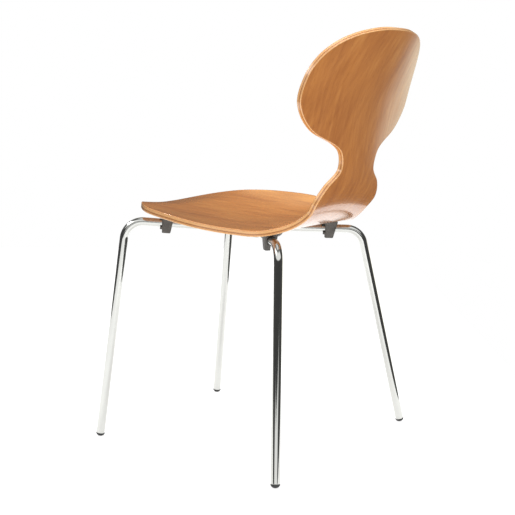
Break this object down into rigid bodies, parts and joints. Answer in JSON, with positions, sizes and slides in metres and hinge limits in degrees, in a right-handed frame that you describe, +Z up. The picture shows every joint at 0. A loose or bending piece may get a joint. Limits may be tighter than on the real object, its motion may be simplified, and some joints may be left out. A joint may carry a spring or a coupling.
{
  "type": "stacking chair",
  "caption": "Stacking chair with a one-piece moulded plywood seat and narrow-waisted back on a splayed frame of bent chromed steel tube.",
  "frame": {"origin": "on the floor, under the middle of the chair's bounding box", "axes": "+Z up, -Y is the chair's front, +X is the sitter's left"},
  "size_m": [0.4784, 0.5595, 0.7817],
  "materials": {
    "lacquered_plywood": "satin clear lacquer",
    "chromed_steel": "bright chrome plate",
    "zinc_plated_steel": "zinc plated",
    "black_rubber": "matt",
    "black_plastic": "fine moulded texture"
  },
  "bodies": {
    "root": {"seat_shell": "lacquered_plywood", "left_leg_tube": "chromed_steel", "right_leg_tube": "chromed_steel", "mounting_plate": "zinc_plated_steel", "isolating_pad": "black_rubber", "threaded_inserts": "zinc_plated_steel", "fixing_screws": "zinc_plated_steel", "screw_washers": "zinc_plated_steel", "hub_cap": "black_plastic", "front_left_spacer_clip": "black_plastic", "front_right_spacer_clip": "black_plastic", "rear_left_spacer_clip": "black_plastic", "rear_right_spacer_clip": "black_plastic", "front_left_glide": "black_plastic", "front_right_glide": "black_plastic", "rear_left_glide": "black_plastic", "rear_right_glide": "black_plastic"}
  },
  "joints": []
}
